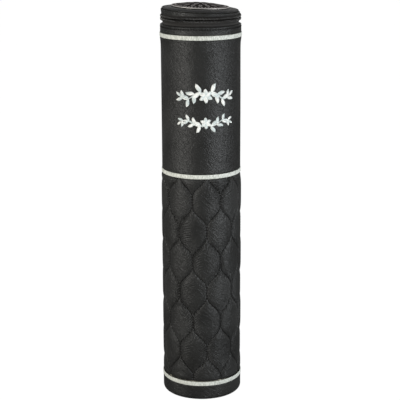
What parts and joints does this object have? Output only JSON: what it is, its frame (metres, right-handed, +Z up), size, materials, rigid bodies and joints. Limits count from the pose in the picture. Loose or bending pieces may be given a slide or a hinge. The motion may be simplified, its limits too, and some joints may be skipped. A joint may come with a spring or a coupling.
{
  "type": "scroll case",
  "caption": "Tall round leatherette scroll case with a quilted sleeve, silver ribbon trims and a zipped fold-back lid.",
  "frame": {"origin": "middle of the flat underside that the case stands on", "axes": "+Z up along the tube, -Y out of the front, which carries the ornament; the lid's hinge tab is at +Y"},
  "size_m": [0.086, 0.0862, 0.4232],
  "materials": {
    "leatherette": "embossed leatherette, satin",
    "ribbon": "woven metallic ribbon",
    "thread": "silver satin stitch",
    "board": "grey board, matt",
    "foam": "open foam sheet",
    "lining": "short-pile velvet",
    "tape": "woven zip tape",
    "nylon": "drawn nylon coil",
    "enamel": "black enamelled zinc",
    "relief": "pressed plate, darkened relief",
    "rim": "bright rim"
  },
  "bodies": {
    "case": {"core_tube": "board", "bottom_board": "board", "foam_wrap": "foam", "bottom_lining": "lining", "tube_lining": "lining", "base_cover": "leatherette", "underside_disc": "leatherette", "quilted_sleeve": "leatherette", "upper_wrap": "leatherette", "collar_band": "leatherette", "trim_bottom": "ribbon", "trim_middle": "ribbon", "trim_top": "ribbon", "garland_upper": "thread", "garland_lower": "thread", "lower_zip_tape": "tape", "lower_zip_coil": "nylon", "hinge_tab": "leatherette"},
    "lid": {"upper_zip_tape": "tape", "upper_zip_coil": "nylon", "lid_side_band": "leatherette", "lid_lining": "lining", "lid_board": "board", "lid_foam": "foam", "lid_cover": "leatherette", "lid_welt": "leatherette", "medallion_rim": "rim", "medallion_plate": "relief"},
    "slider": {"zip_slider": "enamel"},
    "pull": {"pull_tab": "enamel"}
  },
  "joints": [
    {"name": "lid_hinge", "type": "hinge", "parent": "case", "child": "lid", "pos_m": [0, 0.0432, 0.4103], "axis": [-1, 0, 0], "range_deg": [0, 170], "deforming": ["hinge_tab"]},
    {"name": "zip_travel", "type": "hinge", "parent": "case", "child": "slider", "pos_m": [0, 0, 0.4086], "axis": [0, 0, -1], "range_deg": [0, 282.9]},
    {"name": "pull_swing", "type": "hinge", "parent": "slider", "child": "pull", "pos_m": [0.02827, 0.03552, 0.4086], "axis": [0.7824, -0.6227, 0], "range_deg": [-4, 100]}
  ]
}
